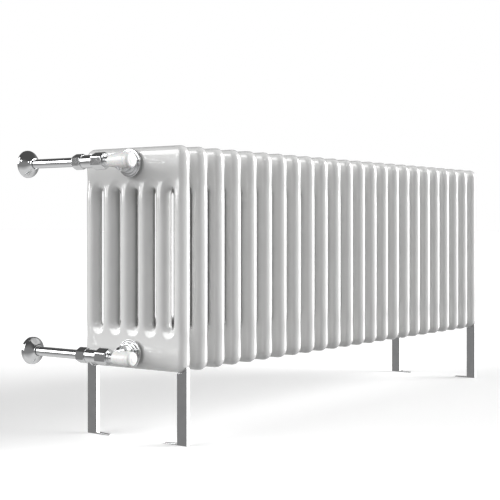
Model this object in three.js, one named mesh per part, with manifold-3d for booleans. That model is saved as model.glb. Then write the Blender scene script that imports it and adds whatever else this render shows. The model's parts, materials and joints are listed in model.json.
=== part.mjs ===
// Tubular steel column radiator: welded sections on four chromed legs, with two chromed angle
// valves at one end, their supply pipes and wall plates, and a vent plug and a blank plug at the other.
// Millimetres, +Z up. X runs along the radiator, -Y is its front and +Y is the wall behind it.
import * as THREE from 'three';
import { mergeVertices } from 'three/addons/utils/BufferGeometryUtils.js';
import Module from 'manifold-3d';

// Sections
const SECTION_COUNT = 24;
const SECTION_PITCH = 45;
const SECTION_HEIGHT = 360;
const COLUMN_COUNT = 6;
const COLUMN_PITCH = 38;
const TUBE_DIAMETER = 25;
const HEAD_HEIGHT = 70; // from the end of a section to the gaps between its tubes
const CORNER_RADIUS = 16;
const FLOOR_CLEARANCE = 115;

// Hubs that join the sections, tapped G1
const TAPPING_INSET = 26; // from the end of a section to the axis of its hub
const HUB_RADIUS = 18.5;
const TAPPING_RADIUS = 15.15;
const END_BOSS = 2; // how far the outermost hubs stand out of the end sections

// Legs
const LEG_DEPTH = 20;
const LEG_THICKNESS = 8;
const TOE_LENGTH = 30;
const TOE_THICKNESS = 3;
const LEG_LIP = 1.2; // thickness left where the leg's top laps the rounded corner

// Valves and pipes
const LOWER_VALVE_REACH = 77; // from the middle of the first section to the valve's axis
const UPPER_VALVE_REACH = 86;
const WALL_DISTANCE = 165; // from the middle of the radiator's depth to the wall
const PIPE_RADIUS = 7.5;
const PIPE_WALL = 1;
const SPINDLE_RADIUS = 2.8;

const GAP = 0.3; // clearance between pieces that touch
const ROUND = 12; // sides of a small turned piece
const BROAD_ROUND = 16; // sides of a broad turned piece
const HUB_SIDES = 8; // sides of a hub and of its tapping

const SHANK_RADIUS = TAPPING_RADIUS - GAP;
const TUBE_RADIUS = TUBE_DIAMETER / 2;
const TUBE_GAP = COLUMN_PITCH - TUBE_DIAMETER;
const SECTION_DEPTH = (COLUMN_COUNT - 1) * COLUMN_PITCH + TUBE_DIAMETER;
const FRONT = -SECTION_DEPTH / 2;
const FIRST_SECTION = -((SECTION_COUNT - 1) * SECTION_PITCH) / 2;
const LAST_SECTION = -FIRST_SECTION;
const LOWER_TAPPING = FLOOR_CLEARANCE + TAPPING_INSET;
const UPPER_TAPPING = FLOOR_CLEARANCE + SECTION_HEIGHT - TAPPING_INSET;

const finish = (name, color, roughness, metalness) =>
  new THREE.MeshStandardMaterial({ name, color, roughness, metalness });
const WHITE_ENAMEL = finish('white_enamel', 0xf4f4f2, 0.25, 0);
const CHROME = finish('chrome', 0xd8dadc, 0.08, 1);
const WHITE_PLASTIC = finish('white_plastic', 0xf6f6f4, 0.3, 0);
const BRASS = finish('brass', 0xb8924a, 0.35, 1);
const RUBBER = finish('rubber', 0x1c1c1c, 0.8, 0);

const wasm = await Module();
wasm.setup();

// A closed geometry as a solid, turned to face out.
function solid(geometry) {
  const bare = geometry.index ? geometry.toNonIndexed() : geometry.clone();
  bare.deleteAttribute('normal');
  bare.deleteAttribute('uv');
  const merged = mergeVertices(bare, 1e-4);
  const points = merged.attributes.position.array;
  const corners = Array.from(merged.index.array);
  const faces = [];
  for (let i = 0; i < corners.length; i += 3) {
    const face = corners.slice(i, i + 3);
    if (new Set(face).size === 3) faces.push(face);
  }
  if (signedVolume(points, faces) < 0) faces.forEach((face) => face.reverse());
  return new wasm.Manifold(new wasm.Mesh({
    numProp: 3,
    vertProperties: new Float32Array(points),
    triVerts: new Uint32Array(faces.flat()),
  }));
}

function signedVolume(points, faces) {
  const corner = (i) => new THREE.Vector3(points[3 * i], points[3 * i + 1], points[3 * i + 2]);
  let sum = 0;
  for (const [a, b, c] of faces) sum += corner(a).dot(corner(b).cross(corner(c)));
  return sum / 6;
}

// A solid as a named mesh.
function piece(name, shape, material) {
  const mesh = shape.getMesh();
  const geometry = new THREE.BufferGeometry();
  geometry.setAttribute('position', new THREE.BufferAttribute(new Float32Array(mesh.vertProperties), 3));
  geometry.setIndex(new THREE.BufferAttribute(new Uint32Array(mesh.triVerts), 1));
  const result = new THREE.Mesh(geometry, material);
  result.name = name;
  return result;
}

// Solids turned about the Y axis. Profiles are [radius, distance along the axis] pairs.
function turned(profile, sides = ROUND) {
  return solid(new THREE.LatheGeometry(profile.map(([r, y]) => new THREE.Vector2(r, y)), sides));
}

function disc(radius, from, to, sides = ROUND) {
  return turned([[0, from], [radius, from], [radius, to], [0, to]], sides);
}

function ring(outer, inner, from, to, sides = ROUND) {
  return turned([[inner, from], [outer, from], [outer, to], [inner, to], [inner, from]], sides);
}

// A hexagonal bar with its corners turned off at both ends, one corner up.
function hexagon(acrossFlats, from, to) {
  const cornerRadius = acrossFlats / Math.sqrt(3);
  const bevel = 1.2;
  const face = cornerRadius - bevel;
  return turned([[0, from], [face, from], [cornerRadius, from + bevel * 0.6],
    [cornerRadius, to - bevel * 0.6], [face, to], [0, to]], 6);
}

// Turns a solid made about the Y axis so that it lies along X.
function alongX(shape) {
  return shape.rotate([0, 0, -90]);
}

// A flat outline of [y, z] points, extruded along X about x = 0.
function plate(outline, thickness) {
  const shape = new THREE.Shape(outline.map(([y, z]) => new THREE.Vector2(y, z)));
  const geometry = new THREE.ExtrudeGeometry(shape, { depth: thickness, bevelEnabled: false });
  geometry.translate(0, 0, -thickness / 2);
  return solid(standing(geometry));
}

// Outlines are drawn in XY: this stands them up in the YZ plane.
function standing(geometry) {
  const basis = new THREE.Matrix4().makeBasis(
    new THREE.Vector3(0, 1, 0), new THREE.Vector3(0, 0, 1), new THREE.Vector3(1, 0, 0));
  return geometry.applyMatrix4(basis);
}

// One welded section: two pressed heads and six tubes. Its edges are bevelled so that every tube
// is an octagon, and its hubs meet its neighbours' hubs. The tapping runs through both heads.
function sectionSolid(leftHub, rightHub) {
  const bevel = TUBE_RADIUS * (2 - Math.SQRT2);
  const geometry = new THREE.ExtrudeGeometry(sectionOutline(), {
    depth: TUBE_DIAMETER - 2 * bevel,
    curveSegments: 2,
    bevelEnabled: true,
    bevelThickness: bevel,
    bevelSize: bevel,
    bevelOffset: -bevel,
    bevelSegments: 1,
  });
  geometry.translate(0, 0, bevel - TUBE_RADIUS);
  let body = solid(standing(geometry));
  for (const height of [TAPPING_INSET, SECTION_HEIGHT - TAPPING_INSET]) {
    const hub = hubBar(HUB_RADIUS, -TUBE_RADIUS - leftHub, TUBE_RADIUS + rightHub);
    body = body.add(hub.translate([0, 0, height]));
    const tapping = hubBar(TAPPING_RADIUS, -SECTION_PITCH, SECTION_PITCH);
    body = body.subtract(tapping.translate([0, 0, height]));
  }
  return body;
}

// An octagonal bar along X that a round bar of the given radius just fits, flat side up.
function hubBar(radius, from, to) {
  const halfSide = Math.PI / HUB_SIDES;
  const bar = disc(radius / Math.cos(halfSide), from, to, HUB_SIDES);
  return alongX(bar.rotate([0, THREE.MathUtils.radToDeg(halfSide), 0]));
}

function sectionOutline() {
  const outline = new THREE.Shape();
  const back = -FRONT;
  const top = SECTION_HEIGHT;
  const r = CORNER_RADIUS;
  outline.moveTo(FRONT + r, 0);
  outline.lineTo(back - r, 0);
  outline.absarc(back - r, r, r, -Math.PI / 2, 0);
  outline.lineTo(back, top - r);
  outline.absarc(back - r, top - r, r, 0, Math.PI / 2);
  outline.lineTo(FRONT + r, top);
  outline.absarc(FRONT + r, top - r, r, Math.PI / 2, Math.PI);
  outline.lineTo(FRONT, r);
  outline.absarc(FRONT + r, r, r, Math.PI, 1.5 * Math.PI);
  for (let column = 1; column < COLUMN_COUNT; column += 1) {
    outline.holes.push(tubeGap(FRONT + TUBE_RADIUS + (column - 0.5) * COLUMN_PITCH));
  }
  return outline;
}

// The open slot between two tubes, pointed at both ends.
function tubeGap(y) {
  const half = TUBE_GAP / 2;
  const low = HEAD_HEIGHT;
  const high = SECTION_HEIGHT - HEAD_HEIGHT;
  const corners = [[y - half, low + half], [y - half, high - half], [y, high],
    [y + half, high - half], [y + half, low + half], [y, low]];
  return new THREE.Path(corners.map(([a, b]) => new THREE.Vector2(a, b)));
}

function addSections(radiator) {
  const hub = (SECTION_PITCH - TUBE_DIAMETER) / 2 - GAP / 2;
  for (let i = 0; i < SECTION_COUNT; i += 1) {
    const leftHub = i === 0 ? END_BOSS : hub;
    const rightHub = i === SECTION_COUNT - 1 ? END_BOSS : hub;
    const name = `section_${String(i + 1).padStart(2, '0')}`;
    const mesh = piece(name, sectionSolid(leftHub, rightHub), WHITE_ENAMEL);
    mesh.position.set(FIRST_SECTION + i * SECTION_PITCH, 0, FLOOR_CLEARANCE);
    radiator.add(mesh);
  }
}

// A front leg: a flat bar with a toe plate pointing inwards, its top cut to the head's corner.
function legSolid() {
  const inner = FRONT + LEG_DEPTH;
  const centreY = FRONT + CORNER_RADIUS;
  const centreZ = FLOOR_CLEARANCE + CORNER_RADIUS;
  const seat = CORNER_RADIUS + GAP;
  const lipAngle = Math.PI + Math.acos((CORNER_RADIUS - LEG_LIP) / seat);
  const arc = [];
  const steps = 5;
  for (let i = 0; i <= steps; i += 1) {
    const angle = 1.5 * Math.PI + (lipAngle - 1.5 * Math.PI) * (i / steps);
    arc.push([centreY + seat * Math.cos(angle), centreZ + seat * Math.sin(angle)]);
  }
  const lipHeight = arc[steps][1];
  return plate([
    [FRONT, 0], [inner + TOE_LENGTH, 0], [inner + TOE_LENGTH, TOE_THICKNESS], [inner, TOE_THICKNESS],
    [inner, centreZ - seat], ...arc, [FRONT, lipHeight],
  ], LEG_THICKNESS);
}

function addLegs(radiator) {
  for (const [end, x] of [['valve_end', FIRST_SECTION], ['vent_end', LAST_SECTION]]) {
    for (const side of ['front', 'rear']) {
      const shape = side === 'front' ? legSolid() : legSolid().rotate([0, 0, 180]);
      const leg = piece(`leg_${end}_${side}`, shape, CHROME);
      leg.position.x = x;
      radiator.add(leg);
    }
  }
}

// Valve pieces are drawn about the valve's axis: y = 0 is the radiator's middle, -y is the front.
const BLOCK_FLATS = 24; // across the flats of the body's hexagonal block
const BLOCK_HALF = 11.5;
const ARM_RADIUS = 10.5; // smooth arm behind the block
const ARM_END = 35;
const ARM_THREAD_RADIUS = 9.3; // the arm's thread, inside the compression nut
const THREAD_END = 44;
const SHOULDER_RADIUS = 9.2; // turned shoulder in front of the block
const SHOULDER_END = -14;
const NECK_RADIUS = 7.6;
const NECK_END = -22;
const BORE_RADIUS = 4.6;
const CHAMBER_RADIUS = 6;
const SEAT = 4.3; // where the chamber narrows to the bore
const PIPE_START = 22;
const OUTLET_RADIUS = 8;
const OUTLET_THREAD_RADIUS = 10;
const OUTLET_THREAD_LENGTH = 8.5;
const CUT = 1; // how far a bore's tool runs past the face it cuts

// Union and bush, measured along X from the middle of the first section.
const TAIL_BORE = 5;
const TAIL_RADIUS = 6.6;
const TAIL_END = 4;
const TAIL_COLLAR_RADIUS = 9.8;
const TAIL_COLLAR_START = 28.8;
const TAIL_COLLAR_END = 31.2;
const UNION_NUT_FLATS = 25;
const UNION_NUT_START = 26;
const UNION_NUT_END = 41;
const BUSH_FACE = TUBE_RADIUS + END_BOSS;
const BUSH_STEP = 3;
const BUSH_RADII = [23, 19.5, 16]; // the flange's rings, from the radiator outwards
const BUSH_BORE = 6.9;
const GASKET_THICKNESS = 1.2;
const FLANGE_BACK = BUSH_FACE + 2 * GAP + GASKET_THICKNESS;

// Chromed angle body: hexagonal block, rear arm for the pipe, neck for the headwork and an outlet
// arm of the given reach towards the radiator.
function valveBody(reach) {
  const outletEnd = reach - TAIL_COLLAR_END - GAP;
  const outside = hexagon(BLOCK_FLATS, -BLOCK_HALF, BLOCK_HALF)
    .add(disc(ARM_RADIUS, 0, ARM_END))
    .add(disc(ARM_THREAD_RADIUS, 0, THREAD_END))
    .add(disc(SHOULDER_RADIUS, SHOULDER_END, 0))
    .add(disc(NECK_RADIUS, NECK_END, 0))
    .add(alongX(disc(OUTLET_RADIUS, 0, outletEnd)))
    .add(alongX(disc(OUTLET_THREAD_RADIUS, outletEnd - OUTLET_THREAD_LENGTH, outletEnd)));
  return outside
    .subtract(disc(PIPE_RADIUS + GAP, PIPE_START - GAP, THREAD_END + CUT))
    .subtract(disc(BORE_RADIUS, 0, THREAD_END))
    .subtract(disc(CHAMBER_RADIUS, NECK_END - CUT, SEAT))
    .subtract(alongX(disc(TAIL_BORE, 0, outletEnd + CUT)));
}

// Headwork that screws into the neck and guides the spindle.
const SPINDLE_CLEARANCE = 0.35;
const GLAND_END = -13;
const GLAND_HEAD_LENGTH = 2.6;
const GLAND_HEAD_RADIUS = 6.8;
function glandSolid() {
  const bore = SPINDLE_RADIUS + SPINDLE_CLEARANCE;
  const front = NECK_END - GLAND_HEAD_LENGTH;
  return ring(CHAMBER_RADIUS - GAP, bore, front, GLAND_END)
    .add(ring(GLAND_HEAD_RADIUS, bore, front, NECK_END - GAP));
}

// The spindle: a stem for the head, a collar under the gland and a thread that drives the clack.
const STEM_END = -35;
const COLLAR_RADIUS = 5.2;
const COLLAR_FRONT = GLAND_END + GAP;
const COLLAR_BACK = -10.6;
const DRIVE_RADIUS = 2.1;
const DRIVE_END = -2.4;
function spindleSolid() {
  return turned([[0, STEM_END], [SPINDLE_RADIUS, STEM_END], [SPINDLE_RADIUS, COLLAR_FRONT],
    [COLLAR_RADIUS, COLLAR_FRONT], [COLLAR_RADIUS, COLLAR_BACK], [DRIVE_RADIUS, COLLAR_BACK],
    [DRIVE_RADIUS, DRIVE_END], [0, DRIVE_END]]);
}

// The clack: a threaded cup that the spindle drives onto the seat, with a rubber washer.
const CLACK_RADIUS = 5.4;
const CLACK_FRONT = -9.4;
const CLACK_BACK = -1.2;
const CLACK_FLOOR = 0.8;
const WASHER_THICKNESS = 1.1;
function clackSolid() {
  const bore = DRIVE_RADIUS + 0.5;
  const floor = CLACK_BACK - CLACK_FLOOR;
  return turned([[bore, CLACK_FRONT], [CLACK_RADIUS, CLACK_FRONT], [CLACK_RADIUS, CLACK_BACK],
    [0, CLACK_BACK], [0, floor], [bore, floor], [bore, CLACK_FRONT]]);
}

function washerSolid() {
  const front = CLACK_BACK + GAP;
  return disc(CLACK_RADIUS, front, front + WASHER_THICKNESS);
}

// Hexagonal nut that draws the union tail to the body's outlet.
function unionNut() {
  const lip = TAIL_COLLAR_START - GAP;
  return alongX(hexagon(UNION_NUT_FLATS, -UNION_NUT_END, -UNION_NUT_START)
    .subtract(disc(OUTLET_THREAD_RADIUS + 0.4, -UNION_NUT_END - CUT, -lip))
    .subtract(disc(TAIL_RADIUS + 0.4, -lip - CUT, -UNION_NUT_START + CUT)));
}

// Union tail: a tube with a collar inside the nut, screwed into the bush.
function unionTail() {
  return alongX(turned([[TAIL_BORE, -TAIL_COLLAR_END], [TAIL_COLLAR_RADIUS, -TAIL_COLLAR_END],
    [TAIL_COLLAR_RADIUS, -TAIL_COLLAR_START], [TAIL_RADIUS, -TAIL_COLLAR_START],
    [TAIL_RADIUS, -TAIL_END], [TAIL_BORE, -TAIL_END], [TAIL_BORE, -TAIL_COLLAR_END]]));
}

// Reducing bush with a stepped round flange. Its shank screws into the tapping.
function bushSolid() {
  const front = -FLANGE_BACK - BUSH_RADII.length * BUSH_STEP;
  const steps = BUSH_RADII.flatMap((radius, i) => [
    [radius, -FLANGE_BACK - i * BUSH_STEP], [radius, -FLANGE_BACK - (i + 1) * BUSH_STEP]]);
  return alongX(turned([[BUSH_BORE, front], ...steps.reverse(), [SHANK_RADIUS, -FLANGE_BACK],
    [SHANK_RADIUS, 0], [BUSH_BORE, 0], [BUSH_BORE, front]], BROAD_ROUND));
}

function gasketSolid() {
  const back = -BUSH_FACE - GAP;
  return alongX(ring(HUB_RADIUS - 0.5, TAPPING_RADIUS, back - GASKET_THICKNESS, back, BROAD_ROUND));
}

// Compression nut and the olive that it squeezes onto the pipe.
const COMPRESSION_NUT_FLATS = 22;
const COMPRESSION_NUT_END = 53.5;
const NUT_CONE = 48.5; // the depth of the nut's thread
const OLIVE_END = NUT_CONE - 0.4;
const OLIVE_EDGE = 8.4;
const OLIVE_CROWN = 9.2;
function compressionNut() {
  return hexagon(COMPRESSION_NUT_FLATS, ARM_END + GAP, COMPRESSION_NUT_END)
    .subtract(disc(ARM_THREAD_RADIUS + GAP, ARM_END - CUT, NUT_CONE))
    .subtract(disc(PIPE_RADIUS + GAP, NUT_CONE - CUT, COMPRESSION_NUT_END + CUT));
}

function oliveSolid() {
  const bore = PIPE_RADIUS + GAP;
  const start = THREAD_END + GAP;
  return turned([[bore, start], [OLIVE_EDGE, start], [OLIVE_CROWN, (start + OLIVE_END) / 2],
    [OLIVE_EDGE, OLIVE_END], [bore, OLIVE_END], [bore, start]]);
}

function pipeSolid() {
  return ring(PIPE_RADIUS, PIPE_RADIUS - PIPE_WALL, PIPE_START, WALL_DISTANCE);
}

// Wall plate: a rim against the wall and a hollow-sided cone that closes on the pipe.
const PLATE_RADIUS = 22.5;
const PLATE_CLEARANCE = 0.4;
const PLATE_LIP = 1.6;
function wallPlate(rimThickness, coneLength) {
  const bore = PIPE_RADIUS + PLATE_CLEARANCE;
  const rim = WALL_DISTANCE - rimThickness;
  return turned([
    [bore, WALL_DISTANCE], [PLATE_RADIUS, WALL_DISTANCE], [PLATE_RADIUS, rim],
    [PLATE_RADIUS - 3, rim - 0.25 * coneLength], [12, rim - 0.65 * coneLength],
    [bore + PLATE_LIP, rim - coneLength], [bore, rim - coneLength], [bore, WALL_DISTANCE],
  ], BROAD_ROUND);
}

// White plastic head or cap: a tapered shell with a domed front, hollow over the gland, with a socket
// for the stem. It starts just clear of the neck, and its length runs forwards from HEAD_BACK.
const HEAD_BACK = -22.5;
const HEAD_MOUTH = 8.3;
const HEAD_CHAMBER_END = -26;
const STEM_SOCKET = 3.5;
const SOCKET_END = STEM_END - 0.6;
function headSolid(length, backRadius, frontRadius) {
  const front = HEAD_BACK - length;
  const crown = frontRadius * 0.55;
  return turned([
    [0, front], [frontRadius * 0.62, front + crown * 0.12], [frontRadius * 0.9, front + crown * 0.5],
    [frontRadius, front + crown], [frontRadius, HEAD_BACK - 0.55 * length],
    [backRadius, HEAD_BACK], [HEAD_MOUTH, HEAD_BACK], [HEAD_MOUTH, HEAD_CHAMBER_END],
    [STEM_SOCKET, HEAD_CHAMBER_END], [STEM_SOCKET, SOCKET_END], [0, SOCKET_END],
  ]);
}

function addValve(radiator, prefix, reach, height, head, plateShape) {
  const valve = new THREE.Group();
  valve.position.set(FIRST_SECTION - reach, 0, height);
  const headShell = headSolid(head.length, head.backRadius, head.frontRadius);
  valve.add(piece(`${prefix}_valve_body`, valveBody(reach), CHROME));
  valve.add(piece(`${prefix}_gland`, glandSolid(), BRASS));
  valve.add(piece(`${prefix}_spindle`, spindleSolid(), BRASS));
  valve.add(piece(`${prefix}_clack`, clackSolid(), BRASS));
  valve.add(piece(`${prefix}_washer`, washerSolid(), RUBBER));
  valve.add(piece(`${prefix}_${head.name}`, headShell, WHITE_PLASTIC));
  valve.add(piece(`${prefix}_compression_nut`, compressionNut(), CHROME));
  valve.add(piece(`${prefix}_olive`, oliveSolid(), BRASS));
  valve.add(piece(`${prefix}_supply_pipe`, pipeSolid(), CHROME));
  valve.add(piece(`${prefix}_wall_plate`, wallPlate(plateShape.rim, plateShape.cone), CHROME));
  radiator.add(valve);

  const connection = new THREE.Group();
  connection.position.set(FIRST_SECTION, 0, height);
  connection.add(piece(`${prefix}_union_nut`, unionNut(), CHROME));
  connection.add(piece(`${prefix}_union_tail`, unionTail(), CHROME));
  connection.add(piece(`${prefix}_bush`, bushSolid(), CHROME));
  connection.add(piece(`${prefix}_bush_gasket`, gasketSolid(), RUBBER));
  radiator.add(connection);
}

// Plugs for the tappings at the vent end: a flange, a shank and a hexagon or a bored boss.
const PLUG_FLANGE_RADIUS = BUSH_RADII[0];
const PLUG_HEXAGON_FLATS = 22;
const PLUG_HEXAGON_END = 9;
const VENT_BOSS_RADIUS = 7;
const VENT_BOSS_END = 13;
const VENT_FACE = -FLANGE_BACK - VENT_BOSS_END;
const VENT_BORE_RADIUS = 1.2;
const BLEED_RADIUS = 2.8;
const BLEED_CLEARANCE = 0.4;
const BLEED_TIP = -9;
const BLEED_SQUARE = 5;
const BLEED_SQUARE_LENGTH = 4;

function plugBlank() {
  return alongX(turned([[0, -FLANGE_BACK - BUSH_STEP], [PLUG_FLANGE_RADIUS, -FLANGE_BACK - BUSH_STEP],
    [PLUG_FLANGE_RADIUS, -FLANGE_BACK], [SHANK_RADIUS, -FLANGE_BACK], [SHANK_RADIUS, 0], [0, 0]],
  BROAD_ROUND));
}

function blankPlug() {
  const hexagonStart = -FLANGE_BACK - BUSH_STEP + CUT;
  return plugBlank()
    .add(alongX(hexagon(PLUG_HEXAGON_FLATS, -FLANGE_BACK - PLUG_HEXAGON_END, hexagonStart)));
}

function ventPlug() {
  return plugBlank()
    .add(alongX(disc(VENT_BOSS_RADIUS, VENT_FACE, -FLANGE_BACK - BUSH_STEP + CUT)))
    .subtract(alongX(disc(BLEED_RADIUS + BLEED_CLEARANCE, VENT_FACE - CUT, BLEED_TIP + CUT)))
    .subtract(alongX(disc(VENT_BORE_RADIUS, BLEED_TIP, CUT, HUB_SIDES)));
}

function bleedScrew() {
  const square = new THREE.BoxGeometry(BLEED_SQUARE, BLEED_SQUARE_LENGTH, BLEED_SQUARE);
  square.translate(0, VENT_FACE - GAP - BLEED_SQUARE_LENGTH / 2, 0);
  return alongX(disc(BLEED_RADIUS, VENT_FACE - CUT, BLEED_TIP).add(solid(square)));
}

// The plugs are drawn facing -X and turned round to face +X.
function addPlugs(radiator) {
  const plugs = [
    ['vent_plug', ventPlug(), CHROME, UPPER_TAPPING],
    ['bleed_screw', bleedScrew(), BRASS, UPPER_TAPPING],
    ['blank_plug', blankPlug(), CHROME, LOWER_TAPPING],
  ];
  for (const [name, shape, material, height] of plugs) {
    const mesh = piece(name, shape.rotate([0, 0, 180]), material);
    mesh.position.set(LAST_SECTION, 0, height);
    radiator.add(mesh);
  }
}

const radiator = new THREE.Group();
addSections(radiator);
addLegs(radiator);
addValve(radiator, 'upper', UPPER_VALVE_REACH, UPPER_TAPPING,
  { name: 'hand_wheel', length: 46, backRadius: 9.9, frontRadius: 13 }, { rim: 2, cone: 17 });
addValve(radiator, 'lower', LOWER_VALVE_REACH, LOWER_TAPPING,
  { name: 'lockshield_cap', length: 40, backRadius: 9.5, frontRadius: 11.8 }, { rim: 5, cone: 12 });
addPlugs(radiator);

// The origin is the centre of the radiator's box, on the floor.
const box = new THREE.Box3().setFromObject(radiator);
const centre = box.getCenter(new THREE.Vector3());
radiator.position.set(-centre.x, -centre.y, 0);

export default radiator;
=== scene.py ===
"""Finished look of a white tubular column radiator on chromed legs, with chromed angle valves at
one end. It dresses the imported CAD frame: each piece takes its place from its CAD node's box."""

import json
import math

import bmesh
import bpy
import numpy as np
from mathutils import Matrix, Vector


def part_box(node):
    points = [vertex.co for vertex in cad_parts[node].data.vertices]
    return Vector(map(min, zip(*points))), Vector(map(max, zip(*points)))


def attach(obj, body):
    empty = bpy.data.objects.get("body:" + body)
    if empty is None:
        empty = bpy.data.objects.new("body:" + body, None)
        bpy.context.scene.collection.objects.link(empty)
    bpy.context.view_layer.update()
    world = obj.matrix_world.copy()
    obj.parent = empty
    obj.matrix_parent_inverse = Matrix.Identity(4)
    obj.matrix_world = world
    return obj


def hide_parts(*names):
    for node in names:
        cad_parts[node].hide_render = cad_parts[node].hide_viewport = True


MM = 0.001

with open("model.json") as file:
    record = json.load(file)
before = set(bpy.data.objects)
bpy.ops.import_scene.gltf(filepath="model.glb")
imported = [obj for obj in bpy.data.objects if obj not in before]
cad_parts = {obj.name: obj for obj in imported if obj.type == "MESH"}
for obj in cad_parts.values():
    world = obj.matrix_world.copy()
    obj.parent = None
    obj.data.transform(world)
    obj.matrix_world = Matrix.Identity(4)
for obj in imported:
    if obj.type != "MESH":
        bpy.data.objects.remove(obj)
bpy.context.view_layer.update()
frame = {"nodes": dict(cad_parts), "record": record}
scene = bpy.context.scene
behaviour = frame["record"]["behaviour"]
body_of_node = {n: body for body, nodes in behaviour["bodies"].items() for n in nodes}
slot_of_node = {part["node"]: part["material_slot"] for part in frame["record"]["subparts"]}


class Place:
    """A CAD node's box: its lowest and highest corners, its size and its centre, in metres."""

    def __init__(self, node):
        self.low, self.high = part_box(node)
        self.size = self.high - self.low
        self.centre = (self.low + self.high) / 2


def settle_in(piece, *nodes):
    """Puts a piece on its nodes' body and hides those nodes."""
    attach(piece, body_of_node[nodes[0]])
    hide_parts(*nodes)
    return piece


# ---------------------------------------------------------------- sections

SECTION_NAMES = sorted(n for n in frame["nodes"] if n.startswith("section_"))
COLUMN_COUNT = 6
TUBE_RADIUS = 12.5 * MM
CORNER_RADIUS = 16 * MM
SLOT_CENTRE = 77 * MM  # from the end of a section to the centre of a slot's elliptical end
SLOT_STRETCH = 1.4  # how far those ends are drawn out along the tubes
CROWN = 1.2 * MM  # how far a head's face falls away next to its flat band
CROWN_REACH = (26 * MM, 54 * MM, 84 * MM)  # from a section's end: where that starts, is deepest, ends
TAPPING_INSET = 26 * MM
TAPPING_RADIUS = 15.15 * MM
HUB_RADIUS = 18.5 * MM
HUB_FILLET = 3 * MM
NET_STEP = 3.1 * MM
STRAIGHT_STEPS = 5
SETTLE_STEPS = 6


def smooth_minimum(a, b, width):
    """The smaller of a and b, with the crease between them rounded over that width."""
    overlap = np.clip(0.5 + 0.5 * (b - a) / width, 0, 1)
    return b + (a - b) * overlap - width * overlap * (1 - overlap)


class SectionShape:
    """The outside of one section as a field that is negative inside. u runs from the front to the
    back about the middle of the depth, v up from the bottom, and w along the radiator."""

    def __init__(self, depth, height, left, right):
        self.half_depth = depth / 2
        self.height = height
        self.left = left
        self.right = right
        self.pitch = (depth - 2 * TUBE_RADIUS) / (COLUMN_COUNT - 1)
        self.slots = [(i - (COLUMN_COUNT - 2) / 2) * self.pitch for i in range(COLUMN_COUNT - 1)]

    def edge_distance(self, u, v):
        """How far inside the outline a point is, seen square to the section."""
        from_middle = np.abs(v - self.height / 2)
        corner_u = np.abs(u) - (self.half_depth - CORNER_RADIUS)
        corner_v = from_middle - (self.height / 2 - CORNER_RADIUS)
        outside = np.hypot(np.maximum(corner_u, 0), np.maximum(corner_v, 0))
        inside = np.minimum(np.maximum(corner_u, corner_v), 0)
        distance = CORNER_RADIUS - outside - inside
        beyond = np.maximum(from_middle - (self.height / 2 - SLOT_CENTRE), 0) / SLOT_STRETCH
        for slot in self.slots:
            half_gap = self.pitch / 2 - TUBE_RADIUS
            distance = np.minimum(distance, np.hypot(u - slot, beyond) - half_gap)
        return distance

    def crown(self, v):
        """How far the head's face falls away: nothing on its band and on the tubes."""
        from_end = self.height / 2 - np.abs(v - self.height / 2)
        start, middle, end = CROWN_REACH
        down = np.clip((from_end - start) / (middle - start), 0, 1)
        back = np.clip((end - from_end) / (end - middle), 0, 1)
        ease = np.minimum(down, back)
        return CROWN * ease * ease * (3 - 2 * ease)

    def field(self, w, u, v):
        thickness = np.abs(w) + self.crown(v)
        short = np.maximum(TUBE_RADIUS - self.edge_distance(u, v), 0)
        body = np.hypot(short, thickness) - TUBE_RADIUS
        for height in (TAPPING_INSET, self.height - TAPPING_INSET):
            radius = np.hypot(u, v - height)
            end = np.maximum(w - self.right, self.left - w)
            hub = np.maximum(radius - HUB_RADIUS, end)
            body = smooth_minimum(body, hub, HUB_FILLET)
            body = np.maximum(body, TAPPING_RADIUS - radius)
            body = np.maximum(body, end)
        return body


def surface_net(field, axes):
    """Quads around the zero surface of a field sampled on a grid with these three axes."""
    grid = np.meshgrid(*axes, indexing="ij")
    value = field(*grid)
    cells = tuple(n - 1 for n in value.shape)
    total = np.zeros(cells + (3,))
    count = np.zeros(cells)
    crossings = []
    for axis in range(3):
        low = [slice(None)] * 3
        high = [slice(None)] * 3
        low[axis] = slice(0, -1)
        high[axis] = slice(1, None)
        a, b = value[tuple(low)], value[tuple(high)]
        crossed = (a < 0) != (b < 0)
        share = np.where(crossed, a / np.where(crossed, a - b, 1), 0)
        point = np.stack([g[tuple(low)] for g in grid], axis=-1)
        point[..., axis] += share * (grid[axis][tuple(high)] - grid[axis][tuple(low)])
        others = [i for i in range(3) if i != axis]
        for first in (0, 1):
            for second in (0, 1):
                window = [slice(None)] * 3
                window[others[0]] = slice(first, first + cells[others[0]])
                window[others[1]] = slice(second, second + cells[others[1]])
                hit = crossed[tuple(window)]
                total[hit] += point[tuple(window)][hit]
                count[hit] += 1
        crossings.append((crossed, a < 0))
    used = count > 0
    index = np.full(cells, -1)
    index[used] = np.arange(used.sum())
    points = total[used] / count[used][:, None]
    quads = []
    for axis, (crossed, inside_first) in enumerate(crossings):
        second, third = [(1, 2), (2, 0), (0, 1)][axis]
        where = np.argwhere(crossed)
        keep = (where[:, second] > 0) & (where[:, third] > 0)
        keep &= (where[:, second] < cells[second]) & (where[:, third] < cells[third])
        where = where[keep]
        corners = []
        for step_second, step_third in ((1, 1), (0, 1), (0, 0), (1, 0)):
            cell = where.copy()
            cell[:, second] -= step_second
            cell[:, third] -= step_third
            corners.append(index[tuple(cell.T)])
        faces = np.stack(corners, axis=1)
        outward = inside_first[tuple(where.T)]
        faces[~outward] = faces[~outward][:, ::-1]
        quads.append(faces)
    return points, np.concatenate(quads)


def gradient(field, points):
    """The field's slope at each point, from its values a hair's breadth to either side."""
    step = 0.02 * MM
    parts = []
    for axis in range(3):
        shift = np.zeros(3)
        shift[axis] = step
        ahead = field(*(points + shift).T)
        behind = field(*(points - shift).T)
        parts.append((ahead - behind) / (2 * step))
    return np.stack(parts, axis=1)


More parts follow.
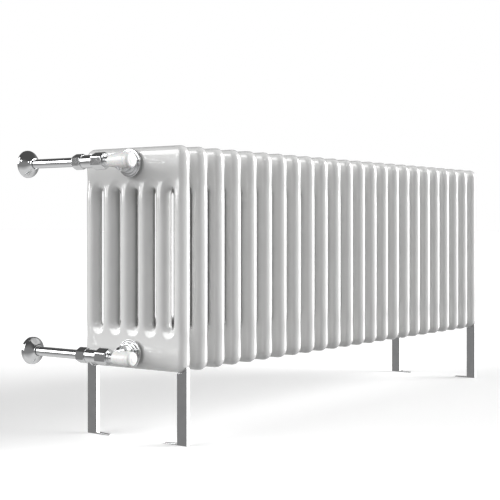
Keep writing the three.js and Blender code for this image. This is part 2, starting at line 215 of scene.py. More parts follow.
def settle(field, points):
    """Moves points along the field's gradient onto its zero surface."""
    for _ in range(SETTLE_STEPS):
        slope = gradient(field, points)
        length = np.maximum((slope * slope).sum(axis=1), 0.05)
        points = points - np.clip(field(*points.T) / length, -MM, MM)[:, None] * slope
    return points


def sampled(low, high, step):
    """Even values from low to high, no further apart than the step."""
    count = math.ceil((high - low) / step)
    return np.linspace(low, high, count + 1)


def section_mesh(name, left, right, depth, height):
    """A section's smooth mesh about its own middle: fine in the heads, long quads down the tubes."""
    shape = SectionShape(depth, height, left, right)
    margin = 0.6 * NET_STEP
    head = SLOT_CENTRE + 4 * NET_STEP
    axes = (
        sampled(left - margin, right + margin, NET_STEP),
        sampled(-depth / 2 - margin, depth / 2 + margin, NET_STEP),
        np.concatenate([
            sampled(-margin, head, NET_STEP),
            np.linspace(head, height - head, STRAIGHT_STEPS + 1)[1:-1],
            sampled(height - head, height + margin, NET_STEP),
        ]),
    )
    points, quads = surface_net(shape.field, axes)
    points = settle(shape.field, points)
    mesh = bpy.data.meshes.new(name)
    mesh.from_pydata(points.tolist(), [], quads.tolist())
    normals = gradient(shape.field, points)
    normals /= np.linalg.norm(normals, axis=1)[:, None]
    mesh.shade_smooth()
    mesh.normals_split_custom_set_from_vertices(normals.tolist())
    return mesh


def section_middles():
    """Where along X each section's tubes stand. The end sections have one short hub each."""
    middles = {name: Place(name).centre.x for name in SECTION_NAMES}
    first, second, last = (Place(SECTION_NAMES[i]) for i in (0, 1, -1))
    middles[SECTION_NAMES[0]] = first.high.x - second.size.x / 2
    middles[SECTION_NAMES[-1]] = last.low.x + second.size.x / 2
    return middles


def add_sections():
    """Every section, with one mesh for all those whose hubs reach equally far."""
    meshes = {}
    for name in SECTION_NAMES:
        place = Place(name)
        reach = (round(place.low.x - middle_of[name], 5), round(place.high.x - middle_of[name], 5))
        if reach not in meshes:
            meshes[reach] = section_mesh(f"{name}_surface", *reach, place.size.y, place.size.z)
            meshes[reach].materials.append(finishes["white_enamel"])
        piece = bpy.data.objects.new(f"{name}_enamelled", meshes[reach])
        piece.location = (middle_of[name], place.centre.y, place.low.z)
        scene.collection.objects.link(piece)
        settle_in(piece, name)


# ---------------------------------------------------------------- turned pieces

ON_AXIS = 1e-7
NEARLY_STRAIGHT = math.radians(172)  # a corner this flat is left alone
ROUNDING_STEPS = 4
SIDES = 72


def rounded(profile, radius):
    """A closed profile with each corner off the axis rounded to a radius."""
    corners = [Vector(p) for p in profile]
    result = []
    for i, corner in enumerate(corners):
        before = corners[i - 1] - corner
        after = corners[(i + 1) % len(corners)] - corner
        angle = before.angle(after, math.pi)
        if corner.x < ON_AXIS or angle > NEARLY_STRAIGHT:
            result.append(corner)
            continue
        trim = min(radius / math.tan(angle / 2), 0.45 * before.length, 0.45 * after.length)
        first = corner + before.normalized() * trim
        last = corner + after.normalized() * trim
        for step in range(ROUNDING_STEPS + 1):
            t = step / ROUNDING_STEPS
            result.append(first * (1 - t) ** 2 + corner * 2 * t * (1 - t) + last * t * t)
    return result


def hexagon_radius(angle, flats):
    """Distance from a hexagonal bar's axis to its side, corners up and down."""
    turn = math.radians(60)
    off = (angle - math.radians(90)) % turn - turn / 2
    return flats / 2 / math.cos(off)


def revolve(profile, flats=None):
    """A closed [radius, distance] profile turned about the Y axis. With flats, nothing reaches
    outside a hexagonal bar of that width."""
    mesh = bmesh.new()
    rings = []
    for radius, distance in profile:
        if radius < ON_AXIS:
            rings.append([mesh.verts.new((0, distance, 0))] * SIDES)
            continue
        ring = []
        for i in range(SIDES):
            angle = 2 * math.pi * i / SIDES
            limit = min(radius, hexagon_radius(angle, flats)) if flats else radius
            ring.append(mesh.verts.new((limit * math.cos(angle), distance, limit * math.sin(angle))))
        rings.append(ring)
    for i, ring in enumerate(rings):
        following = rings[(i + 1) % len(rings)]
        for j in range(SIDES):
            k = (j + 1) % SIDES
            corners = list(dict.fromkeys([ring[j], ring[k], following[k], following[j]]))
            if len(corners) > 2 and not mesh.faces.get(corners):
                mesh.faces.new(corners)
    bmesh.ops.remove_doubles(mesh, verts=mesh.verts, dist=1e-7)
    bmesh.ops.dissolve_degenerate(mesh, edges=mesh.edges, dist=1e-7)
    bmesh.ops.recalc_face_normals(mesh, faces=mesh.faces)
    return mesh


SHARP_ANGLE = 35


def as_piece(name, mesh, finish):
    """A bmesh as a smooth-shaded object whose flat faces stay flat."""
    data = bpy.data.meshes.new(name)
    mesh.to_mesh(data)
    mesh.free()
    data.materials.append(finish)
    data.shade_smooth()
    data.set_sharp_from_angle(angle=math.radians(SHARP_ANGLE))
    piece = bpy.data.objects.new(name, data)
    scene.collection.objects.link(piece)
    weigh_normals(piece)
    return piece


def weigh_normals(piece):
    """Lets large faces set the shading at their edges, so that they look flat."""
    weighted = piece.modifiers.new("flat faces stay flat", "WEIGHTED_NORMAL")
    weighted.keep_sharp = True


ALONG_Y = Matrix.Identity(4)
TOWARDS_MINUS_X = Matrix.Rotation(math.radians(90), 4, "Z")
TOWARDS_PLUS_X = Matrix.Rotation(math.radians(-90), 4, "Z")


def turned(name, profile, finish, origin, facing=ALONG_Y, flats=None, edge=0.3):
    """A turned or hexagonal piece. Its profile is in millimetres about the origin."""
    points = rounded([(r * MM, y * MM) for r, y in profile], edge * MM)
    mesh = revolve(points, flats * MM if flats else None)
    mesh.transform(Matrix.Translation(origin) @ facing)
    return as_piece(name, mesh, finish)


CHAMFER_WIDTH = 1.9
CHAMFER_DEPTH = 1.3
CHAMFER_ROWS = 5


def chamfered(flats, bore, start, end):
    """The profile of a hexagonal nut: bored, with a cone turned over both ends' corners."""
    corner = flats / math.sqrt(3)
    face = corner - CHAMFER_WIDTH
    rise = [(face + (corner - face) * i / CHAMFER_ROWS, CHAMFER_DEPTH * i / CHAMFER_ROWS)
            for i in range(CHAMFER_ROWS + 1)]
    front = [(r, start + d) for r, d in rise]
    back = [(r, end - d) for r, d in reversed(rise)]
    return [(bore, start)] + front + back + [(bore, end)]


def combine(target, joined, cut, name):
    """One piece made of the target and the joined pieces, less the cut ones."""
    for operation, tools in (("UNION", joined), ("DIFFERENCE", cut)):
        for tool in tools:
            step = target.modifiers.new(operation.lower(), "BOOLEAN")
            step.operation = operation
            step.solver = "EXACT"
            step.object = tool
    target.modifiers.remove(target.modifiers[0])
    bpy.context.view_layer.update()
    depsgraph = bpy.context.evaluated_depsgraph_get()
    mesh = bpy.data.meshes.new_from_object(target.evaluated_get(depsgraph))
    mesh.name = name
    for tool in joined + cut:
        bpy.data.objects.remove(tool)
    target.modifiers.clear()
    target.data = mesh
    target.name = name
    mesh.shade_smooth()
    mesh.set_sharp_from_angle(angle=math.radians(SHARP_ANGLE))
    weigh_normals(target)
    return target


# ---------------------------------------------------------------- finishes


def shader(name, **inputs):
    """A material whose one surface shader has these plain input values."""
    material = bpy.data.materials.new(name)
    material.use_nodes = True
    principled = material.node_tree.nodes["Principled BSDF"]
    for key, value in inputs.items():
        principled.inputs[key.replace("_", " ")].default_value = value
    return material, material.node_tree.nodes, material.node_tree.links, principled


def noise(nodes, links, scale, detail=3.0):
    """Noise over the row frame, with its scale in features to the metre."""
    place = nodes.new("ShaderNodeTexCoord")
    texture = nodes.new("ShaderNodeTexNoise")
    texture.inputs["Scale"].default_value = scale
    texture.inputs["Detail"].default_value = detail
    links.new(place.outputs["Object"], texture.inputs["Vector"])
    return texture.outputs["Fac"]


def spread(nodes, links, source, low, high):
    """A source that varies around a half, as a number from low to high."""
    ranged = nodes.new("ShaderNodeMapRange")
    ranged.inputs["From Min"].default_value = 0.3
    ranged.inputs["From Max"].default_value = 0.7
    ranged.inputs["To Min"].default_value = low
    ranged.inputs["To Max"].default_value = high
    links.new(source, ranged.inputs["Value"])
    return ranged.outputs["Result"]


def tinted(nodes, links, source, low, high):
    """A source as a colour between two others."""
    ramp = nodes.new("ShaderNodeValToRGB")
    ramp.color_ramp.elements[0].position = 0.3
    ramp.color_ramp.elements[1].position = 0.7
    ramp.color_ramp.elements[0].color = (*low, 1)
    ramp.color_ramp.elements[1].color = (*high, 1)
    links.new(source, ramp.inputs["Fac"])
    return ramp.outputs["Color"]


def bumped(nodes, links, principled, source, height, strength):
    """Uneven shading from a source, as if it stood that high."""
    bump = nodes.new("ShaderNodeBump")
    bump.inputs["Distance"].default_value = height
    bump.inputs["Strength"].default_value = strength
    links.new(source, bump.inputs["Height"])
    links.new(bump.outputs["Normal"], principled.inputs["Normal"])


def white_enamel():
    """Stoved gloss enamel: a clear skin over white, with a faint orange peel and uneven gloss."""
    material, nodes, links, principled = shader(
        "white enamel", Coat_Weight=1.0, Coat_Roughness=0.03, Coat_IOR=1.6, IOR=1.5)
    cloud = noise(nodes, links, 14)
    links.new(tinted(nodes, links, cloud, (0.75, 0.75, 0.745), (0.78, 0.78, 0.775)),
              principled.inputs["Base Color"])
    links.new(spread(nodes, links, noise(nodes, links, 45), 0.12, 0.18),
              principled.inputs["Roughness"])
    bumped(nodes, links, principled, noise(nodes, links, 420, 1.0), 0.01 * MM, 0.4)
    return material


def chrome():
    """Bright plate: a mirror with slightly uneven polish."""
    material, nodes, links, principled = shader("chrome", Metallic=1.0)
    links.new(tinted(nodes, links, noise(nodes, links, 60), (0.68, 0.685, 0.69), (0.73, 0.735, 0.74)),
              principled.inputs["Base Color"])
    links.new(spread(nodes, links, noise(nodes, links, 160), 0.05, 0.11),
              principled.inputs["Roughness"])
    bumped(nodes, links, principled, noise(nodes, links, 240, 1.0), 0.02 * MM, 0.35)
    return material


def white_plastic():
    """Moulded white plastic with a fine, slightly cloudy skin."""
    material, nodes, links, principled = shader(
        "white plastic", IOR=1.46, Subsurface_Weight=0.08, Subsurface_Scale=0.002)
    links.new(tinted(nodes, links, noise(nodes, links, 70), (0.86, 0.86, 0.85), (0.89, 0.89, 0.885)),
              principled.inputs["Base Color"])
    links.new(spread(nodes, links, noise(nodes, links, 260), 0.24, 0.33),
              principled.inputs["Roughness"])
    bumped(nodes, links, principled, noise(nodes, links, 900, 2.0), 0.02 * MM, 0.5)
    return material


def brass():
    """Machined brass, duller in patches where it has been handled."""
    material, nodes, links, principled = shader("brass", Metallic=1.0)
    links.new(tinted(nodes, links, noise(nodes, links, 180), (0.52, 0.36, 0.15), (0.70, 0.52, 0.26)),
              principled.inputs["Base Color"])
    links.new(spread(nodes, links, noise(nodes, links, 420), 0.22, 0.42),
              principled.inputs["Roughness"])
    bumped(nodes, links, principled, noise(nodes, links, 1500, 2.0), 0.03 * MM, 0.6)
    return material


def rubber():
    """Black sealing rubber with a matt, dusty skin."""
    material, nodes, links, principled = shader("rubber", IOR=1.5)
    links.new(tinted(nodes, links, noise(nodes, links, 300), (0.014, 0.014, 0.014), (0.03, 0.03, 0.03)),
              principled.inputs["Base Color"])
    links.new(spread(nodes, links, noise(nodes, links, 700), 0.6, 0.85),
              principled.inputs["Roughness"])
    bumped(nodes, links, principled, noise(nodes, links, 2000, 2.0), 0.04 * MM, 0.6)
    return material


FLOOR_RETURN = 0.25  # how much of its light the floor gives back to the object
FLOOR_GLOW = 0.22  # its own faint light, as paper lit from behind


def floor_paper():
    """White studio paper with a barely visible tooth, which throws only part of its light back."""
    material, nodes, links, principled = shader("floor paper", Specular_IOR_Level=0.1)
    links.new(tinted(nodes, links, noise(nodes, links, 2), (0.92, 0.92, 0.92), (0.93, 0.93, 0.93)),
              principled.inputs["Base Color"])
    links.new(spread(nodes, links, noise(nodes, links, 8), 0.85, 0.95), principled.inputs["Roughness"])
    principled.inputs["Emission Color"].default_value = (1, 1, 1, 1)
    principled.inputs["Emission Strength"].default_value = FLOOR_GLOW
    returned = nodes.new("ShaderNodeBsdfDiffuse")
    returned.inputs["Color"].default_value = (FLOOR_RETURN, FLOOR_RETURN, FLOOR_RETURN, 1)
    rays = nodes.new("ShaderNodeLightPath")
    choice = nodes.new("ShaderNodeMixShader")
    links.new(rays.outputs["Is Camera Ray"], choice.inputs["Fac"])
    links.new(returned.outputs["BSDF"], choice.inputs[1])
    links.new(principled.outputs["BSDF"], choice.inputs[2])
    links.new(choice.outputs["Shader"], nodes["Material Output"].inputs["Surface"])
    return material


finishes = {
    "white_enamel": white_enamel(),
    "chrome": chrome(),
    "white_plastic": white_plastic(),
    "brass": brass(),
    "rubber": rubber(),
}


# ---------------------------------------------------------------- legs

TOE_THICKNESS = 3 * MM
TOE_TIP = 1.6 * MM  # thickness of the toe at its rounded-off tip
LEG_DEPTH = 20 * MM
LEG_SEAT = 0.3 * MM  # clearance between a leg's top and the head above it
LEG_LIP = 1.2 * MM  # thickness of the leg's tip where it runs out against the head
LEG_EDGE = 0.5 * MM
ARC_STEPS = 14


def leg_outline(place, section):
    """A leg's side view as [y, z] points from its outer face inwards, toe first."""
    length = place.size.y
    centre_y = CORNER_RADIUS
    centre_z = section.low.z + CORNER_RADIUS
    seat = CORNER_RADIUS + LEG_SEAT
    start = 1.5 * math.pi
    lip = math.pi + math.acos((CORNER_RADIUS - LEG_LIP) / seat)
    outline = [(0, 0), (length, 0), (length, TOE_TIP), (LEG_DEPTH, TOE_THICKNESS),
               (LEG_DEPTH, centre_z - seat)]
    for i in range(ARC_STEPS + 1):
        angle = start + (lip - start) * i / ARC_STEPS
        outline.append((centre_y + seat * math.cos(angle), centre_z + seat * math.sin(angle)))
    outline.append((0, outline[-1][1]))
    return outline


def add_legs():
    """Flat bars with a toe plate inwards, their tops hollowed to the heads' lower corners."""
    section = Place(SECTION_NAMES[0])
    for name in sorted(n for n in frame["nodes"] if n.startswith("leg_")):
        place = Place(name)
        front = name.endswith("front")
        outer = place.low.y if front else place.high.y
        inwards = 1 if front else -1
        mesh = bmesh.new()
        side = [mesh.verts.new((place.low.x, outer + inwards * y, z))
                for y, z in leg_outline(place, section)]
        face = mesh.faces.new(side)
        moved = bmesh.ops.extrude_face_region(mesh, geom=[face])["geom"]
        verts = [v for v in moved if isinstance(v, bmesh.types.BMVert)]
        bmesh.ops.translate(mesh, verts=verts, vec=(place.size.x, 0, 0))
        bmesh.ops.recalc_face_normals(mesh, faces=mesh.faces)
        leg = as_piece(f"{name}_chromed", mesh, finishes["chrome"])
        soften = leg.modifiers.new("soft edges", "BEVEL")
        soften.width = LEG_EDGE
        soften.segments = 3
        soften.limit_method = "ANGLE"
        soften.angle_limit = math.radians(40)
        leg.modifiers.move(1, 0)  # the bevel comes before the weighted normals
        settle_in(leg, name)


# ---------------------------------------------------------------- valves, drawn in millimetres
# Profiles are [radius, distance] points. A valve's own pieces run along Y from the middle of the
# radiator's depth, and its union and bush run outwards along X from the middle of the end section.

BLOCK_FLATS = 24
BLOCK_HALF = 11.5
ARM_RADIUS = 10.5
ARM_END = 35
ARM_THREAD_RADIUS = 9.3
THREAD_END = 44
SHOULDER_RADIUS = 9.2
SHOULDER_END = -14
NECK_RADIUS = 7.6
NECK_END = -22
BORE_RADIUS = 4.6
CHAMBER_RADIUS = 6
SEAT = 4.3
PIPE_START = 22
PIPE_RADIUS = 7.5
PIPE_WALL = 1
GAP = 0.3
OUTLET_RADIUS = 8
OUTLET_THREAD_RADIUS = 10
OUTLET_THREAD_LENGTH = 8.5
TAIL_BORE = 5
TAIL_RADIUS = 6.6
TAIL_END = 4
TAIL_COLLAR = (28.8, 31.2)
TAIL_COLLAR_RADIUS = 9.8
UNION_NUT_FLATS = 25
UNION_NUT = (26, 41)
BUSH_RADII = (23, 19.5, 16)
BUSH_STEP = 3
BUSH_BORE = 6.9
FLANGE_BACK = 16.3
SHANK_RADIUS = 14.6
THREAD_PITCH = 1.5
THREAD_DEPTH = 0.45
PLATE_RADIUS = 22.5
PLATE_RIM = {"upper": 2, "lower": 5}
BELL_STEPS = 18
NUT_FLATS = 22
NUT_END = 53.5
GLAND_FLATS = 12.2
GLAND_BORE = 3.15
SPINDLE_RADIUS = 2.8
SPINDLE_TIP = -35
CLACK_RADIUS = 5.4
CLACK_BORE = 2.6
HEAD_BACK = -22.5
HEAD_BACK_RADIUS = {"upper": 9.9, "lower": 9.5}
HEAD_CROWN = 0.42  # depth of its domed front, as a share of the front's radius
HEAD_TAPER = 0.55  # how far along the head its taper ends
HEAD_STEPS = 10
WAIST_BEHIND_CROWN = 5.5
WAIST_HALF = 0.7
WAIST_DEPTH = 0.45
GLAND_POCKET = (8.3, -26)
SPINDLE_SOCKET = (3.5, -35.6)
FINISH_WORD = {"chrome": "chromed", "brass": "brass", "rubber": "rubber", "white_plastic": "moulded"}


def thread(radius, start, end, pitch=THREAD_PITCH, depth=THREAD_DEPTH):
    """The profile of a run of threads from start to end, its crests at the given radius."""
    turns = max(1, round(abs(end - start) / pitch))
    points = []
    for i in range(turns):
        at = start + (end - start) * (i + 0.5) / turns
        lead = (end - start) / turns * 0.25
        points += [(radius, at - lead), (radius - depth, at + lead)]
    return points


def valve_body(name, axis, reach):
    """Hexagonal block, rear arm, threaded neck and outlet arm as one bored casting."""
    outlet_end = reach - TAIL_COLLAR[1] - GAP
    core = turned(f"{name}_core", [
        (CHAMBER_RADIUS, NECK_END), *thread(NECK_RADIUS, NECK_END, SHOULDER_END),
        (NECK_RADIUS - THREAD_DEPTH, SHOULDER_END), (SHOULDER_RADIUS, SHOULDER_END),
        (SHOULDER_RADIUS, 0), (ARM_RADIUS, 0), (ARM_RADIUS, ARM_END), (ARM_THREAD_RADIUS, ARM_END),
        (ARM_THREAD_RADIUS, THREAD_END), (PIPE_RADIUS + GAP, THREAD_END),
        (PIPE_RADIUS + GAP, PIPE_START - GAP), (BORE_RADIUS, PIPE_START - GAP), (BORE_RADIUS, SEAT),
        (CHAMBER_RADIUS, SEAT),
    ], finishes["chrome"], axis)
    block = turned(f"{name}_block", chamfered(BLOCK_FLATS, NECK_RADIUS, -BLOCK_HALF, BLOCK_HALF),
                   finishes["chrome"], axis, flats=BLOCK_FLATS)
    outlet = turned(f"{name}_outlet", [
        (0, CHAMBER_RADIUS + 1), (OUTLET_RADIUS, CHAMBER_RADIUS + 1),
        (OUTLET_RADIUS, outlet_end - OUTLET_THREAD_LENGTH),
        (OUTLET_THREAD_RADIUS, outlet_end - OUTLET_THREAD_LENGTH),
        (OUTLET_THREAD_RADIUS, outlet_end), (0, outlet_end),
    ], finishes["chrome"], axis, TOWARDS_PLUS_X)
    way = turned(f"{name}_way", [(0, 0), (TAIL_BORE, 0), (TAIL_BORE, outlet_end + 1),
                                 (0, outlet_end + 1)], finishes["chrome"], axis, TOWARDS_PLUS_X)
    return combine(core, [block, outlet], [way], f"{name}_chromed")


def head_profile(length, back_radius, front_radius):
    """A tapered plastic head: hollow over the gland, with a domed front and a shallow waist line."""
    front = HEAD_BACK - length
    crown = HEAD_CROWN * front_radius
    dome = []
    for i in range(HEAD_STEPS + 1):
        angle = math.pi / 2 * i / HEAD_STEPS
        dome.append((front_radius - crown + crown * math.sin(angle),
                     front + 1.2 + crown * (1 - math.cos(angle))))
    shoulder = HEAD_BACK - HEAD_TAPER * length
    waist = front + crown + WAIST_BEHIND_CROWN
    pocket_radius, pocket_floor = GLAND_POCKET
    socket_radius, socket_floor = SPINDLE_SOCKET
    return [
        (0, front), (0.35 * front_radius, front + 0.25), *dome,
        (front_radius, waist - WAIST_HALF), (front_radius - WAIST_DEPTH, waist),
        (front_radius, waist + WAIST_HALF), (front_radius, shoulder), (back_radius, HEAD_BACK),
        (pocket_radius, HEAD_BACK), (pocket_radius, pocket_floor), (socket_radius, pocket_floor),
        (socket_radius, socket_floor), (0, socket_floor),
    ]


def bell_profile(end, rim, cone):
    """A wall plate: flat rim, then an S-shaped bell that closes on the pipe."""
    bore = PIPE_RADIUS + 0.4
    lip = PIPE_RADIUS + 2
    bell = []
    for i in range(BELL_STEPS + 1):
        t = i / BELL_STEPS
        radius = lip + (PLATE_RADIUS - lip) * (1 + math.cos(math.pi * t)) / 2
        bell.append((radius, end - rim - cone * t))
    return [(bore, end), (PLATE_RADIUS, end), *bell, (bore, end - rim - cone)]


def add_valve(prefix, head_name):
    """One angle valve with its pipe and wall plate, from its head at the front to the wall."""
    axis = Place(f"{prefix}_supply_pipe").centre
    section = Place(SECTION_NAMES[0])
    axis.y = section.centre.y
    hub = Vector((section_middle, axis.y, axis.z))
    reach = (hub.x - axis.x) / MM
    wall = (Place(f"{prefix}_supply_pipe").high.y - axis.y) / MM
    plate = Place(f"{prefix}_wall_plate")
    head = Place(f"{prefix}_{head_name}")

    def along(node, profile, edge=0.3, flats=None):
        """A piece turned about the valve's own axis."""
        slot = slot_of_node[f"{prefix}_{node}"]
        piece = turned(f"{prefix}_{node}_{FINISH_WORD[slot]}", profile, finishes[slot], axis,
                       edge=edge, flats=flats)
        settle_in(piece, f"{prefix}_{node}")

    def across(node, profile, edge=0.3, flats=None):
        """A piece turned about the radiator's tapping."""
        slot = slot_of_node[f"{prefix}_{node}"]
        piece = turned(f"{prefix}_{node}_{FINISH_WORD[slot]}", profile, finishes[slot], hub,
                       TOWARDS_MINUS_X, edge=edge, flats=flats)
        settle_in(piece, f"{prefix}_{node}")

    settle_in(valve_body(f"{prefix}_valve_body", axis, reach), f"{prefix}_valve_body")
    along("gland", [(GLAND_BORE, -24.6), (6.8, -24.6), (6.8, -22.3), (5.7, -22.3), (5.7, -13),
                    (GLAND_BORE, -13)], flats=GLAND_FLATS)
    along("spindle", [(0, SPINDLE_TIP), (SPINDLE_RADIUS, SPINDLE_TIP), (SPINDLE_RADIUS, -12.7),
                      (5.2, -12.7), (5.2, -10.6), *thread(2.1, -10.6, -2.4, 0.8, 0.25), (0, -2.4)],
          edge=0.15)
    along("clack", [(CLACK_BORE, -9.4), (CLACK_RADIUS, -9.4), (CLACK_RADIUS, -1.2), (0, -1.2),
                    (0, -2), (CLACK_BORE, -2)])
    along("washer", [(0, -0.9), (CLACK_RADIUS, -0.9), (CLACK_RADIUS, 0.2), (0, 0.2)])
    along(head_name, head_profile(head.size.y / MM, HEAD_BACK_RADIUS[prefix],
                                  head.size.x / 2 / MM), edge=0.5)
    along("compression_nut", [
        (PIPE_RADIUS + GAP, NUT_END), (PIPE_RADIUS + GAP, 48.5), (9.6, 48.5),
        *chamfered(NUT_FLATS, 9.6, ARM_END + GAP, NUT_END)[:-1]], flats=NUT_FLATS)
    along("olive", [(7.8, 44.3), (8.4, 44.3), (9.2, 46.2), (8.4, 48.1), (7.8, 48.1)], edge=0.2)
    along("supply_pipe", [(PIPE_RADIUS - PIPE_WALL, PIPE_START), (PIPE_RADIUS, PIPE_START),
                          (PIPE_RADIUS, wall), (PIPE_RADIUS - PIPE_WALL, wall)], edge=0.2)
    rim = PLATE_RIM[prefix]
    along("wall_plate", bell_profile(wall, rim, plate.size.y / MM - rim), edge=0.4)
    start, end = UNION_NUT
    across("union_nut", [(10.4, end), (10.4, 28.5), (7, 28.5),
                         *chamfered(UNION_NUT_FLATS, 7, start, end)[:-1]], flats=UNION_NUT_FLATS)
    across("union_tail", [
        (TAIL_BORE, TAIL_COLLAR[1]), (TAIL_COLLAR_RADIUS, TAIL_COLLAR[1]),
        (TAIL_COLLAR_RADIUS, TAIL_COLLAR[0]), (TAIL_RADIUS, TAIL_COLLAR[0]),
        (TAIL_RADIUS, TAIL_END), (TAIL_BORE, TAIL_END)])
    across("bush", bush_profile(), edge=0.8)
    across("bush_gasket", [(15.2, 14.8), (18, 14.8), (18, 16), (15.2, 16)], edge=0.25)


def bush_profile():
    """Three stepped rings outside the tapping, and a threaded shank inside it."""
    points = [(BUSH_BORE, 0), *thread(SHANK_RADIUS, 0, 12, 2.3, 0.6),
              (SHANK_RADIUS - 0.8, 12), (SHANK_RADIUS - 0.8, FLANGE_BACK)]
    for i, radius in enumerate(BUSH_RADII):
        points += [(radius, FLANGE_BACK + i * BUSH_STEP), (radius, FLANGE_BACK + (i + 1) * BUSH_STEP)]
    return points + [(BUSH_BORE, FLANGE_BACK + len(BUSH_RADII) * BUSH_STEP)]


# ---------------------------------------------------------------- plugs at the far end


BLANK_PLUG_FLATS = 22
BLEED_KEY = 5


def shank(bore):
    """A plug's shank inside the tapping, up to the back of its flange."""
    return [(bore, 0), *thread(SHANK_RADIUS, 0, 12, 2.3, 0.6),
            (SHANK_RADIUS - 0.8, 12), (SHANK_RADIUS - 0.8, FLANGE_BACK)]


def flange():
    """The edge of a plug's round flange."""
    return [(BUSH_RADII[0], FLANGE_BACK), (BUSH_RADII[0], FLANGE_BACK + BUSH_STEP)]


def add_plugs():
    """The vent plug with its bleed screw, and the blank plug below it."""
    vent = Place("vent_plug")
    upper = Vector((last_middle, vent.centre.y, vent.centre.z))
    lower = upper.copy()
    lower.z = Place("blank_plug").centre.z
    chrome_finish, brass_finish = finishes["chrome"], finishes["brass"]
    boss_end = (vent.high.x - last_middle) / MM
    vent_plug = turned("vent_plug_chromed", [
        *shank(1.2), *flange(), (7, FLANGE_BACK + BUSH_STEP), (7, boss_end), (3.2, boss_end),
        (3.2, 8), (1.2, 8)], chrome_finish, upper, TOWARDS_PLUS_X, edge=0.5)
    settle_in(vent_plug, "vent_plug")

    blank = turned("blank_plug_body", [*shank(0), *flange(), (0, FLANGE_BACK + BUSH_STEP)],
                   chrome_finish, lower, TOWARDS_PLUS_X, edge=0.5)
    hexagon = turned("blank_plug_hexagon", chamfered(BLANK_PLUG_FLATS, 0, FLANGE_BACK + 1, FLANGE_BACK + 9),
                     chrome_finish, lower, TOWARDS_PLUS_X, flats=BLANK_PLUG_FLATS)
    settle_in(combine(blank, [hexagon], [], "blank_plug_chromed"), "blank_plug")

    screw = Place("bleed_screw")
    screw_end = (screw.high.x - last_middle) / MM
    shaft = turned("bleed_screw_shaft", [
        (0, 9), (1.2, 9), (2.8, 10.6), (2.8, 20), *thread(2.8, 20, boss_end, 0.8, 0.25),
        (2.8, screw_end - 2), (0, screw_end - 2)], brass_finish, upper, TOWARDS_PLUS_X, edge=0.15)
    square = bmesh.new()
    bmesh.ops.create_cube(square, size=1)
    bmesh.ops.scale(square, vec=(4 * MM, BLEED_KEY * MM, BLEED_KEY * MM), verts=square.verts)
    bmesh.ops.bevel(square, geom=square.edges[:], offset=0.4 * MM, segments=3, affect="EDGES")
    centre = Vector(((screw_end - 2) * MM, 0, 0)) + upper
    bmesh.ops.translate(square, vec=centre, verts=square.verts)
    head = as_piece("bleed_screw_square", square, brass_finish)
    settle_in(combine(shaft, [head], [], "bleed_screw_brass"), "bleed_screw")


# ---------------------------------------------------------------- studio


CAMERA_FROM_TUBE = Vector((-1.427, -1.181, 0.3462))  # from the foot of the near front tube's axis
CAMERA_TURN = -53.71
SENSOR = 36
LENS = 84.25
FRAME_SHIFT = -0.0468
FLOOR_SIZE = 60


def add_camera():
    """A level camera off the valve end's front corner, with the photograph's framing."""
    front_tube = Vector((section_middle, Place(SECTION_NAMES[0]).low.y + TUBE_RADIUS, 0))
    camera = bpy.data.objects.new("camera", bpy.data.cameras.new("camera"))
    camera.data.sensor_width = SENSOR
    camera.data.lens = LENS
    camera.data.shift_y = FRAME_SHIFT
    camera.location = front_tube + CAMERA_FROM_TUBE
    camera.rotation_euler = (math.radians(90), 0, math.radians(CAMERA_TURN))
    scene.collection.objects.link(camera)
    scene.camera = camera


def add_floor():
    """A wide sheet of paper under the feet."""
    mesh = bmesh.new()
    bmesh.ops.create_grid(mesh, x_segments=1, y_segments=1, size=FLOOR_SIZE)
    data = bpy.data.meshes.new("floor")
    mesh.to_mesh(data)
    mesh.free()
    data.materials.append(floor_paper())
    floor = bpy.data.objects.new("floor", data)
    scene.collection.objects.link(floor)
    floor.visible_glossy = False  # the chrome mirrors the studio and not the paper


# how bright the studio is, from straight down at 0 to straight up at 1: bright cards low down,
# even walls, and a dark ceiling
STUDIO = [(0.15, 0.80), (0.38, 0.28), (0.60, 0.28), (0.80, 0.10)]
BACKDROP = 1.0  # what the camera sees behind the object


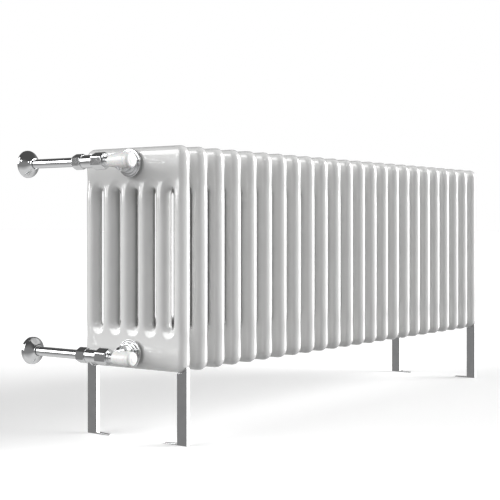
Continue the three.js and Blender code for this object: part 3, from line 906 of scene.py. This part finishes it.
def add_world():
    """A white backdrop behind the object, and dim studio surroundings that light it."""
    world = bpy.data.worlds.new("studio")
    scene.world = world
    world.use_nodes = True
    nodes, links = world.node_tree.nodes, world.node_tree.links
    nodes.clear()
    direction = nodes.new("ShaderNodeTexCoord")
    parts = nodes.new("ShaderNodeSeparateXYZ")
    links.new(direction.outputs["Generated"], parts.inputs["Vector"])
    height = nodes.new("ShaderNodeMapRange")
    height.inputs["From Min"].default_value = -1
    links.new(parts.outputs["Z"], height.inputs["Value"])
    ramp = nodes.new("ShaderNodeValToRGB")
    stops = ramp.color_ramp.elements
    while len(stops) < len(STUDIO):
        stops.new(0.5)
    for stop, (position, brightness) in zip(stops, STUDIO):
        stop.position = position
        stop.color = (brightness, brightness, brightness, 1)
    links.new(height.outputs["Result"], ramp.inputs["Fac"])
    surroundings = nodes.new("ShaderNodeBackground")
    links.new(ramp.outputs["Color"], surroundings.inputs["Color"])
    backdrop = nodes.new("ShaderNodeBackground")
    backdrop.inputs["Color"].default_value = (1, 1, 1, 1)
    backdrop.inputs["Strength"].default_value = BACKDROP
    rays = nodes.new("ShaderNodeLightPath")
    choice = nodes.new("ShaderNodeMixShader")
    links.new(rays.outputs["Is Camera Ray"], choice.inputs["Fac"])
    links.new(surroundings.outputs["Background"], choice.inputs[1])
    links.new(backdrop.outputs["Background"], choice.inputs[2])
    output = nodes.new("ShaderNodeOutputWorld")
    links.new(choice.outputs["Shader"], output.inputs["Surface"])


# name, the direction it comes from, its apparent width in degrees, its strength
SOFT_LIGHTS = [
    ("key", (0.50, -0.80, 0.37), 40, 3.1),
    ("right fill", (0.77, -0.60, 0.10), 55, 1.7),
    ("left", (-0.84, 0.45, 0.44), 48, 1.75),
    ("left rear", (-0.50, 0.84, 0.28), 30, 1.2),
    ("above the camera", (-0.74, -0.55, 0.42), 8, 0.2),
]


def add_lights():
    """Each light is a sun with its own apparent width, so it shines alike along the radiator."""
    for name, direction, width, strength in SOFT_LIGHTS:
        light = bpy.data.objects.new(name, bpy.data.lights.new(name, "SUN"))
        light.data.energy = strength
        light.data.angle = math.radians(width)
        light.rotation_euler = Vector(direction).to_track_quat("Z", "Y").to_euler()
        scene.collection.objects.link(light)


# ---------------------------------------------------------------- the whole scene

middle_of = section_middles()
section_middle = middle_of[SECTION_NAMES[0]]
last_middle = middle_of[SECTION_NAMES[-1]]

add_camera()
add_floor()
add_world()
add_lights()
scene.view_settings.view_transform = "Standard"

add_sections()
add_legs()
add_valve("upper", "hand_wheel")
add_valve("lower", "lockshield_cap")
add_plugs()
